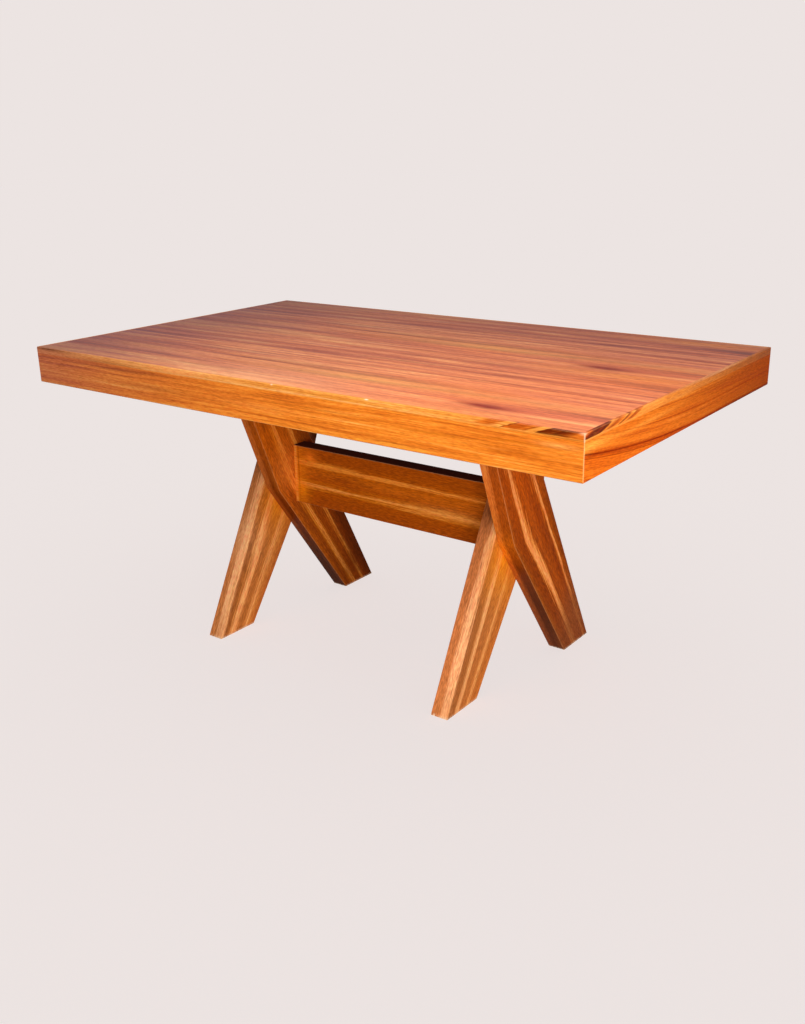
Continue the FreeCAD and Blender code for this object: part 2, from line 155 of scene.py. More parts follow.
def giveMaterial(node, material):
    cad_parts[node].material_slots[0].material = material


# what all the wood has in common
woodwork = {
    "seedShift": (1.0, 0.37, 0.71),  # metres along, across and through that a seed of 1 moves the grain
    "swayDetail": 1.0,
    "noiseRoughness": 0.55,
    "arrisNormal": (0.95, 0.75),  # greatest part of the normal on a flat face, and on the bevel of an edge
}


def boardPlace(tree, turnDegrees, seed):
    # place in a board in metres, with x along the grain, moved by a seed so that no two boards match
    where = addNode(tree, "TexCoord").outputs["Object"]
    return addNode(tree, "Mapping", {"Vector": where, "Location": [seed * s for s in woodwork["seedShift"]],
                                     "Rotation": (0.0, 0.0, math.radians(turnDegrees))})


def grainLayers(tree, place, grain):
    # noise drawn out along the board, every layer swaying sideways with one slow wave
    slow = addNode(tree, "VectorMath", {0: place, 1: [1000 / mm for mm in grain["swayMm"]]},
                   operation="MULTIPLY")
    sway = addNode(tree, "TexNoise", {"Vector": slow, "Scale": 1.0, "Detail": woodwork["swayDetail"]})
    swing = grain["swingMm"] / 1000
    swayed = addNode(tree, "VectorMath", {0: sway.outputs["Color"], 1: (0.0, swing, swing), 2: place},
                     operation="MULTIPLY_ADD")
    layers = {}
    for name, layer in grain["layers"].items():
        drawn = addNode(tree, "VectorMath", {0: swayed, 1: [1000 / mm for mm in layer["mm"]]},
                        operation="MULTIPLY")
        noise = addNode(tree, "TexNoise", {"Vector": drawn, "Scale": 1.0, "Detail": layer["detail"],
                                           "Roughness": woodwork["noiseRoughness"]})
        layers[name] = addNode(tree, "MapRange", {0: noise, 1: layer["span"][0], 2: layer["span"][1]})
    return layers


def grainColour(tree, layers, shares, tones):
    # weighted sum of the layers, 0 for the darkest grain and 1 for the palest, coloured by the tones
    tone = 0.0
    for name, share in shares.items():
        tone = addNode(tree, "Math", {0: layers[name], 1: share, 2: tone}, operation="MULTIPLY_ADD")
    return addNode(tree, "ValToRGB", {0: tone}, stops=tones)


def paintPores(tree, colour, layers, pores):
    # dark pores, and short flecks that lighten as much as they darken
    cover = addNode(tree, "Math", {0: layers["pore"], 1: pores["share"]}, operation="MULTIPLY")
    colour = addNode(tree, "Mix", {0: cover, 6: colour, 7: pores["colour"]}, data_type="RGBA")
    return addNode(tree, "Mix", {0: pores["flecks"], 6: colour, 7: layers["fleck"]}, data_type="RGBA",
                   blend_type="OVERLAY")


def paintSpots(tree, colour, place, spots):
    # soft egg-shaped spots of another tone, or of painted light or shade: centre and half sizes in metres,
    # share of cover, colour
    for centre, halfSizes, share, tone in spots:
        local = addNode(tree, "Mapping", {"Vector": place, "Location": centre, "Scale": halfSizes},
                        vector_type="TEXTURE")
        spot = addNode(tree, "TexGradient", {"Vector": local}, gradient_type="QUADRATIC_SPHERE")
        cover = addNode(tree, "Math", {0: spot.outputs["Fac"], 1: share}, operation="MULTIPLY")
        colour = addNode(tree, "Mix", {0: cover, 6: colour, 7: tone}, data_type="RGBA")
    return colour


def squareArris(tree):
    # 1 on the narrow bevels of a squared board, 0 on its faces
    normal = addNode(tree, "NewGeometry").outputs["True Normal"]
    flat = addNode(tree, "SeparateXYZ", {0: addNode(tree, "VectorMath", {0: normal}, operation="ABSOLUTE")})
    most = addNode(tree, "Math", {0: flat.outputs[0], 1: flat.outputs[1]}, operation="MAXIMUM")
    most = addNode(tree, "Math", {0: most, 1: flat.outputs[2]}, operation="MAXIMUM")
    flatPart, bevelPart = woodwork["arrisNormal"]
    return addNode(tree, "MapRange", {0: most, 1: flatPart, 2: bevelPart})


def finishWood(tree, colour, layers, finish, arris):
    # lacquer: paler on the arrises, partly worn lacquer and partly a painted highlight where the bevels
    # catch the light; roughness follows the streaks, pores dent the film slightly
    arrisWearAndHighlight = addNode(tree, "Math", {0: arris, 1: finish["arrisWearAndHighlightShare"]}, operation="MULTIPLY")
    arrisWornAndHighlit = addNode(tree, "Mix", {0: arrisWearAndHighlight, 6: colour, 7: finish["arrisWearAndHighlightColour"]}, data_type="RGBA")
    smoothest, roughest = finish["roughness"]
    rough = addNode(tree, "MapRange", {0: layers["streak"], 3: smoothest, 4: roughest})
    dents = addNode(tree, "Math", {0: layers["pore"], 1: layers["line"]}, operation="ADD")
    bump = addNode(tree, "Bump", {"Strength": finish["bump"], "Distance": finish["dentMm"] / 1000,
                                  "Height": dents}, invert=True)
    shader = addNode(tree, "BsdfPrincipled", {
        "Base Color": arrisWornAndHighlit, "Roughness": rough, "Normal": bump,
        "IOR": finish["ior"], "Specular IOR Level": finish["specular"]})
    addNode(tree, "OutputMaterial", {"Surface": shader})


# teak grain: sizes in mm along, across and through; lines and pores are drawn about three times
# their real width so that they show, and coarser still on the top, which is seen at a low angle
teakGrain = {
    "swayMm": (900, 140, 140),
    "swingMm": 9,
    "layers": {
        "band": {"mm": (1400, 38, 38), "detail": 2.0, "span": (0.36, 0.64)},
        "streak": {"mm": (360, 7, 7), "detail": 3.0, "span": (0.36, 0.64)},
        "line": {"mm": (130, 2.8, 2.8), "detail": 2.0, "span": (0.38, 0.62)},
        "pore": {"mm": (24, 1.9, 1.9), "detail": 1.0, "span": (0.54, 0.70)},
        "fleck": {"mm": (14, 2.1, 2.1), "detail": 1.0, "span": (0.3, 0.7)},
    },
    "shares": {"band": 0.32, "streak": 0.4, "line": 0.28},
}
veneerGrain = {
    "swayMm": (700, 180, 180),
    "swingMm": 16,
    "layers": {
        "band": {"mm": (1500, 70, 70), "detail": 2.0, "span": (0.36, 0.64)},
        "flame": {"mm": (620, 24, 24), "detail": 3.0, "span": (0.38, 0.62)},
        "streak": {"mm": (300, 9, 9), "detail": 3.0, "span": (0.37, 0.63)},
        "line": {"mm": (150, 5, 5), "detail": 2.0, "span": (0.36, 0.64)},
        "pore": {"mm": (48, 3.0, 3.0), "detail": 1.0, "span": (0.54, 0.68)},
        "fleck": {"mm": (16, 4.5, 4.5), "detail": 1.0, "span": (0.3, 0.7)},
    },
    "shares": {"band": 0.27, "flame": 0.38, "streak": 0.22, "line": 0.13},
}

# satin lacquer over closed-pore teak: a low even sheen
satin = {"roughness": (0.38, 0.5), "bump": 0.25, "dentMm": 0.15, "ior": 1.5, "specular": 0.03,
         "arrisWearAndHighlightColour": "EDB880", "arrisWearAndHighlightShare": 0.25}

# top: lacquered teak veneer laid in leaves from one flitch, so its knots and pale flames come back
# one leaf further on; reddish, fine and straight
topVeneer = {
    "tones": ((0.12, "783830"), (0.31, "AA5642"), (0.50, "CB7150"), (0.68, "DD875B"), (0.87, "F2AE76")),
    "pores": {"share": 0.26, "colour": "74301F", "flecks": 0.14},
    "leafWidth": 0.418,
    "leafStart": -0.160,
    "leafShear": -0.072,  # how far the figure slips along for each metre across
    "specular": 0.03,
    "backingTones": ("8A5A38", "9C6A44"),
    "flames": (
        ((0.20, 0.112, 0.75), (0.60, 0.060, 1.0), 0.85, "E69C56"),
        ((0.70, 0.110, 0.75), (0.50, 0.050, 1.0), 0.6, "DE9150"),
        ((-0.60, 0.050, 0.75), (0.45, 0.400, 1.0), 0.6, "A05C4A"),
        ((0.60, -0.010, 0.75), (0.45, 0.070, 1.0), 0.6, "D88648"),
        ((-0.34, -0.120, 0.75), (0.20, 0.020, 1.0), 0.7, "DFA06C"),
        ((-0.25, 0.200, 0.75), (0.26, 0.018, 1.0), 0.7, "DFA06C"),
        ((-0.08, 0.165, 0.75), (0.26, 0.022, 1.0), 0.7, "E0A068"),
        ((-0.52, 0.125, 0.75), (0.18, 0.026, 1.0), 0.5, "CC8A60"),
        ((0.12, -0.118, 0.75), (0.42, 0.014, 1.0), 0.7, "8E4230"),
        ((-0.10, -0.145, 0.75), (0.30, 0.012, 1.0), 0.5, "94483A"),
        ((0.42, 0.222, 0.75), (0.30, 0.016, 1.0), 0.6, "96442E"),
        ((0.05, 0.215, 0.75), (0.24, 0.014, 1.0), 0.5, "964632"),
        ((-0.20, 0.030, 0.75), (0.40, 0.016, 1.0), 0.5, "9A4A38"),
        ((0.15, 0.152, 0.75), (0.65, 0.018, 1.0), 0.8, "D07A46"),
        ((0.30, -0.040, 0.75), (0.45, 0.020, 1.0), 0.45, "A04C30"),
        ((0.12, 0.000, 0.75), (0.34, 0.011, 1.0), 0.5, "B25C3C"),
        ((-0.06, 0.019, 0.75), (0.30, 0.009, 1.0), 0.55, "F6B882"),
        ((-0.36, 0.008, 0.75), (0.24, 0.010, 1.0), 0.5, "A25240"),
    ),
    # painted light and shade: darker towards the rear and the left end, with a painted mauve reflection of
    # the pale surroundings at the left, lighter and more orange towards the front and right
    "paintedLightAndShade": (  # broad tone over the whole top, not by leaves
        ((-1.00, 0.00, 0.75), (0.77, 1.60, 1.0), 1.0, "44205C"),
        ((-0.85, 0.60, 0.75), (0.75, 0.70, 1.0), 0.5, "62302E"),
        ((0.10, 0.62, 0.75), (1.40, 0.71, 1.0), 0.85, "742832"),
        ((0.80, 0.55, 0.75), (0.50, 0.50, 1.0), 0.2, "7A3A10"),
        ((-0.02, -0.42, 0.75), (0.60, 0.22, 1.0), 0.5, "FFB884"),
        ((0.45, -0.30, 0.75), (0.75, 0.55, 1.0), 0.38, "FF8630"),
        ((0.20, 0.08, 0.75), (0.60, 0.24, 1.0), 0.25, "FF8038"),
        ((0.68, -0.02, 0.75), (0.42, 0.26, 1.0), 0.45, "FF8228"),
    ),
    "knots": (
        ((0.590, 0.041, 0.75), (0.270, 0.036, 1.0), 0.7, "BC5636"),
        ((0.545, 0.041, 0.75), (0.150, 0.036, 1.0), 0.85, "9C3A24"),
        ((0.520, 0.043, 0.75), (0.085, 0.025, 1.0), 1.0, "7C1A0C"),
        ((0.550, 0.038, 0.75), (0.075, 0.020, 1.0), 1.0, "7C1A0C"),
        ((0.680, 0.037, 0.75), (0.160, 0.022, 1.0), 0.6, "B04A34"),
    ),
}
material, tree = newMaterial("lacquered_teak_veneer")
where = addNode(tree, "SeparateXYZ", {0: addNode(tree, "TexCoord").outputs["Object"]})
leafEnd = topVeneer["leafStart"] + topVeneer["leafWidth"]
leafY = addNode(tree, "Math", {0: where.outputs[1], 1: leafEnd, 2: topVeneer["leafStart"]}, operation="WRAP")
leafX = addNode(tree, "Math", {0: where.outputs[1], 1: topVeneer["leafShear"], 2: where.outputs[0]},
                operation="MULTIPLY_ADD")
place = addNode(tree, "CombineXYZ", {0: leafX, 1: leafY, 2: where.outputs[2]})
layers = grainLayers(tree, place, veneerGrain)
colour = grainColour(tree, layers, veneerGrain["shares"], topVeneer["tones"])
# painted light and shade over the whole top, then the figure of each leaf over it
colour = paintSpots(tree, colour, addNode(tree, "TexCoord").outputs["Object"], topVeneer["paintedLightAndShade"])
colour = paintSpots(tree, colour, place, topVeneer["flames"] + topVeneer["knots"])
colour = paintPores(tree, colour, layers, topVeneer["pores"])
facing = addNode(tree, "SeparateXYZ", {0: addNode(tree, "NewGeometry").outputs["True Normal"]}).outputs[2]
below = addNode(tree, "Math", {0: facing, 1: 0.0}, operation="LESS_THAN")
darkBack, paleBack = topVeneer["backingTones"]
backing = addNode(tree, "Mix", {0: layers["streak"], 6: darkBack, 7: paleBack}, data_type="RGBA")
colour = addNode(tree, "Mix", {0: below, 6: colour, 7: backing}, data_type="RGBA")
finishWood(tree, colour, layers, {**satin, "specular": topVeneer["specular"]}, squareArris(tree))
giveMaterial("top_panel", material)
print("top veneered")

# edge boards: solid lacquered teak, warm orange with straight grain along each side, dark grain lines on
# the front and rear, a curved dark vein on the ends
edgeBoards = {
    "tones": ((0.08, "A84C12"), (0.30, "CE691C"), (0.50, "E07A22"), (0.70, "EA8B30"), (0.92, "F2A650")),
    "endTones": ((0.08, "B65216"), (0.30, "CE681A"), (0.50, "DC7620"), (0.70, "E48028"), (0.92, "EC943C")),
    "pores": {"share": 0.3, "colour": "9A4612", "flecks": 0.2},
    "specular": 0.006,
    "veinSpan": (-0.03, 0.06),
    "veinStops": ((-0.03, "FFEAD0"), (-0.0095, "FADCBC"), (-0.0078, "A87248"), (-0.0062, "E6BC94"),
                  (-0.0020, "DAAC84"), (-0.0005, "8E502C"), (0.0005, "96562F"), (0.0020, "E6BE98"),
                  (0.006, "FFF4EA"), (0.029, "FFF4EA"), (0.032, "D8AC84"), (0.034, "FFF4EA"),
                  (0.06, "FFFFFF")),
    "veinFoot": (0.10, 0.55, 0.667, 0.047),  # where the vein levels out, its run from there, height and rise
    "veinRagged": 0.002,
    "sides": {
        "front": {"turn": 0, "seed": 1.3, "spots": (
            ((-0.45, -0.45, 0.726), (0.26, 1.0, 0.007), 0.8, "8E440E"),
            ((-0.32, -0.45, 0.697), (0.24, 1.0, 0.012), 0.7, "A04A0E"),
            ((0.02, -0.45, 0.722), (0.38, 1.0, 0.008), 0.2, "AC5810"),
            ((0.00, -0.45, 0.697), (0.20, 1.0, 0.016), 0.5, "F09440"),
            ((0.18, -0.45, 0.713), (0.25, 1.0, 0.005), 0.55, "A8540E"),
            ((0.45, -0.45, 0.706), (0.22, 1.0, 0.006), 0.55, "B05A0E"),
            ((0.62, -0.45, 0.698), (0.18, 1.0, 0.014), 0.8, "B04A02"),
            ((0.60, -0.45, 0.716), (0.16, 1.0, 0.010), 0.6, "B4560A"),
            ((0.70, -0.45, 0.722), (0.08, 1.0, 0.010), 0.6, "FFB45C"),
            ((0.30, -0.45, 0.670), (0.40, 1.0, 0.010), 0.5, "F09A34"),
            ((-0.78, -0.45, 0.700), (0.85, 1.0, 0.300), 0.42, "CD7973"),
            ((-0.10, -0.45, 0.700), (0.45, 1.0, 0.200), 0.22, "FF9038"),
            # pale line down the front corner: painted highlight on the arris, partly worn lacquer
            ((0.75, -0.45, 0.700), (0.003, 0.003, 0.080), 0.5, "F4B47A"))},
        "right": {"turn": 90, "seed": 2.1, "mirror": 1.0, "spots": (
            # painted shade: darker and redder towards the rear
            ((0.75, 0.60, 0.700), (1.0, 1.30, 0.500), 1.0, "B03A02"),
            ((0.75, -0.20, 0.718), (1.0, 0.25, 0.010), 0.5, "F0A040"),
            ((0.75, -0.43, 0.724), (1.0, 0.16, 0.018), 0.8, "FAA844"),
            ((0.75, 0.12, 0.722), (1.0, 0.35, 0.010), 0.5, "A84A0C"),
            ((0.75, 0.30, 0.664), (1.0, 0.45, 0.012), 0.8, "6E2C0C"),
            # pale line down the front corner: painted highlight on the arris, partly worn lacquer
            ((0.75, -0.45, 0.700), (0.003, 0.003, 0.080), 0.5, "F4B47A"))},
        "rear": {"turn": 0, "seed": 3.7, "spots": (
            ((0.35, 0.45, 0.710), (0.35, 1.0, 0.008), 0.6, "A04E10"),
            ((-0.30, 0.45, 0.690), (0.40, 1.0, 0.007), 0.55, "A8540E"),
            ((0.05, 0.45, 0.675), (0.40, 1.0, 0.009), 0.5, "F09A34"))},
        "left": {"turn": 90, "seed": 4.4, "mirror": -1.0, "spots": (
            ((-0.75, 0.20, 0.716), (1.0, 0.25, 0.010), 0.5, "F0A040"),
            ((-0.75, -0.15, 0.695), (1.0, 0.30, 0.006), 0.5, "B05A10"))},
    },
}
for side, board in edgeBoards["sides"].items():
    tones = edgeBoards["endTones" if board["turn"] else "tones"]
    material, tree = newMaterial("lacquered_teak_edge_" + side)
    where = addNode(tree, "TexCoord").outputs["Object"]
    place = boardPlace(tree, board["turn"], board["seed"])
    if side in ("right", "left"):
        # the vein rises as the square of the way from its foot, and the grain follows it
        foot, run, low, rise = edgeBoards["veinFoot"]
        x, y, z = addNode(tree, "SeparateXYZ", {0: where}).outputs
        way = addNode(tree, "Math", {0: y, 1: board["mirror"]}, operation="MULTIPLY")
        way = addNode(tree, "Math", {0: way, 1: foot}, operation="MINIMUM")
        way = addNode(tree, "Math", {0: way, 1: 1 / run, 2: -foot / run}, operation="MULTIPLY_ADD")
        way = addNode(tree, "Math", {0: way, 1: way}, operation="MULTIPLY")
        vein = addNode(tree, "Math", {0: way, 1: rise, 2: low}, operation="MULTIPLY_ADD")
        above = addNode(tree, "Math", {0: z, 1: vein}, operation="SUBTRACT")
        place = addNode(tree, "CombineXYZ", {0: y, 1: above, 2: x})
        place = addNode(tree, "Mapping", {"Vector": place, "Location": (board["seed"], 0.0, 0.0)})
    layers = grainLayers(tree, place, teakGrain)
    colour = grainColour(tree, layers, teakGrain["shares"], tones)
    if side in ("right", "left"):
        above = addNode(tree, "Math", {0: layers["streak"], 1: edgeBoards["veinRagged"], 2: above},
                        operation="MULTIPLY_ADD")
        start, end = edgeBoards["veinSpan"]
        above = addNode(tree, "MapRange", {0: above, 1: start, 2: end})
        stain = addNode(tree, "ValToRGB", {0: above},
                        stops=[((v - start) / (end - start), c) for v, c in edgeBoards["veinStops"]])
        colour = addNode(tree, "Mix", {0: 1.0, 6: colour, 7: stain}, data_type="RGBA", blend_type="MULTIPLY")
    colour = paintSpots(tree, colour, where, board["spots"])
    colour = paintPores(tree, colour, layers, edgeBoards["pores"])
    finishWood(tree, colour, layers, {**satin, "specular": edgeBoards["specular"]}, squareArris(tree))
    giveMaterial("edge_board_" + side, material)

# lippings: paler golden strips of lacquered teak round the panel, pieced from offcuts near the corners, so
# dark slanting patches show there; the stops are stains along the strip, white for none
lippings = {
    "longTones": ((0.06, "B8661E"), (0.32, "D27C2A"), (0.52, "DE8A36"), (0.72, "E89846"), (0.94, "F0AC60")),
    "endTones": ((0.06, "A8520F"), (0.32, "CC6C1C"), (0.52, "DA7A26"), (0.72, "E48934"), (0.94, "EE9C48")),
    "pores": {"share": 0.3, "colour": "A4601F", "flecks": 0.2},
    "arrisWearAndHighlightShare": 0.1,
    "slants": {"long": -2.8, "end": -3.9},  # metres along the strip for each metre up
    "slantFrom": 0.745,
    "ragged": 0.006,
    "patchRise": (0.7380, 0.7398),  # the patches begin above this height
    "longStops": ((0.54, "FFFFFF"), (0.556, "E4B488"), (0.578, "D8A274"), (0.592, "FFFFFF"),
                  (0.604, "FFFFFF"), (0.607, "7A4422"), (0.612, "D4986A"), (0.634, "C88C5C"),
                  (0.644, "F0C498"), (0.652, "C08858"), (0.658, "FFFFFF"), (0.672, "FFFFFF"),
                  (0.676, "6A3A1C"), (0.700, "7C4826"), (0.708, "5E3016"), (0.722, "8A5632"),
                  (0.732, "B8845A"), (0.740, "F0C498")),
    "endStops": ((-0.47, "E0B088"), (-0.450, "D8A880"), (-0.441, "C08E64"), (-0.432, "8A5634"),
                 (-0.421, "7A4826"), (-0.410, "62300E"), (-0.396, "8E5A36"), (-0.384, "6A3818"),
                 (-0.370, "7A4826"), (-0.362, "FFFFFF"), (-0.336, "B4805A"), (-0.318, "EAC49E"),
                 (-0.306, "FFFFFF"), (-0.296, "7A4422"), (-0.283, "FFEAD4"), (-0.274, "FFFFFF"),
                 (-0.266, "B4804C"), (-0.246, "E0B080"), (-0.236, "FFFFFF")),
    "sides": {
        "front": {"turn": 0, "seed": 5.3, "mirror": 1.0, "spots": (
            ((-0.80, -0.45, 0.745), (0.75, 0.1, 0.200), 0.9, "D68162"),
            ((-0.25, -0.45, 0.744), (0.35, 0.1, 0.020), 0.7, "FFA560"),
            ((-0.70, -0.45, 0.748), (0.16, 0.02, 0.008), 0.95, "5E2A1C"),
            ((-0.45, -0.45, 0.738), (0.20, 0.02, 0.006), 0.6, "A65A26"),
            ((0.0, -0.45, 0.7380), (0.90, 0.02, 0.0020), 0.6, "F6C684"),
            # painted highlight at the corner: a pale dot and a pale line down the arris
            ((0.748, -0.448, 0.75), (0.014, 0.014, 0.006), 0.6, "F6D2AC"),
            ((0.75, -0.45, 0.742), (0.003, 0.003, 0.030), 0.9, "F8E0C4"),
            ((0.04, -0.45, 0.75), (0.006, 0.004, 0.004), 1.0, "F6EADC"),
            ((0.287, -0.45, 0.75), (0.008, 0.004, 0.004), 1.0, "F6EADC"))},
        "right": {"turn": 90, "seed": 6.1, "mirror": 1.0, "spots": (
            # painted shade: darker towards the rear
            ((0.75, 0.50, 0.745), (0.1, 0.95, 0.200), 0.95, "A04A16"),
            ((0.75, 0.00, 0.7375), (0.1, 0.70, 0.005), 0.7, "CC6C22"),
            ((0.75, 0.15, 0.749), (0.1, 0.30, 0.004), 0.5, "E0AC84"),
            # painted highlight at the corner: a pale dot and a pale line down the arris
            ((0.748, -0.448, 0.75), (0.014, 0.014, 0.006), 0.6, "F6D2AC"),
            ((0.75, -0.45, 0.742), (0.003, 0.003, 0.030), 0.9, "F8E0C4"))},
        "rear": {"turn": 0, "seed": 7.7, "mirror": -1.0, "spots": ()},
        "left": {"turn": 90, "seed": 8.4, "mirror": -1.0, "spots": ()},
    },
}
for side, strip in lippings["sides"].items():
    material, tree = newMaterial("lacquered_teak_lipping_" + side)
    where = addNode(tree, "TexCoord").outputs["Object"]
    x, y, z = addNode(tree, "SeparateXYZ", {0: where}).outputs
    layers = grainLayers(tree, boardPlace(tree, strip["turn"], strip["seed"]), teakGrain)
    run = "end" if strip["turn"] else "long"
    colour = grainColour(tree, layers, teakGrain["shares"], lippings[run + "Tones"])
    stops = lippings[run + "Stops"]
    start, end = stops[0][0], stops[-1][0]
    slant = lippings["slants"][run]
    along = addNode(tree, "Math", {0: y if strip["turn"] else x, 1: strip["mirror"],
                                   2: -slant * lippings["slantFrom"]}, operation="MULTIPLY_ADD")
    along = addNode(tree, "Math", {0: z, 1: slant, 2: along}, operation="MULTIPLY_ADD")
    along = addNode(tree, "Math", {0: layers["streak"], 1: lippings["ragged"], 2: along},
                    operation="MULTIPLY_ADD")
    along = addNode(tree, "MapRange", {0: along, 1: start, 2: end})
    stain = addNode(tree, "ValToRGB", {0: along}, stops=[((v - start) / (end - start), c) for v, c in stops])
    patchFoot, patchFull = lippings["patchRise"]
    upper = addNode(tree, "MapRange", {0: z, 1: patchFoot, 2: patchFull})
    colour = addNode(tree, "Mix", {0: upper, 6: colour, 7: stain}, data_type="RGBA", blend_type="MULTIPLY")
    colour = paintSpots(tree, colour, where, strip["spots"])
    colour = paintPores(tree, colour, layers, lippings["pores"])
    finishWood(tree, colour, layers, {**satin, "arrisWearAndHighlightShare": lippings["arrisWearAndHighlightShare"]}, squareArris(tree))
    giveMaterial("lipping_" + side, material)
print("rim finished")

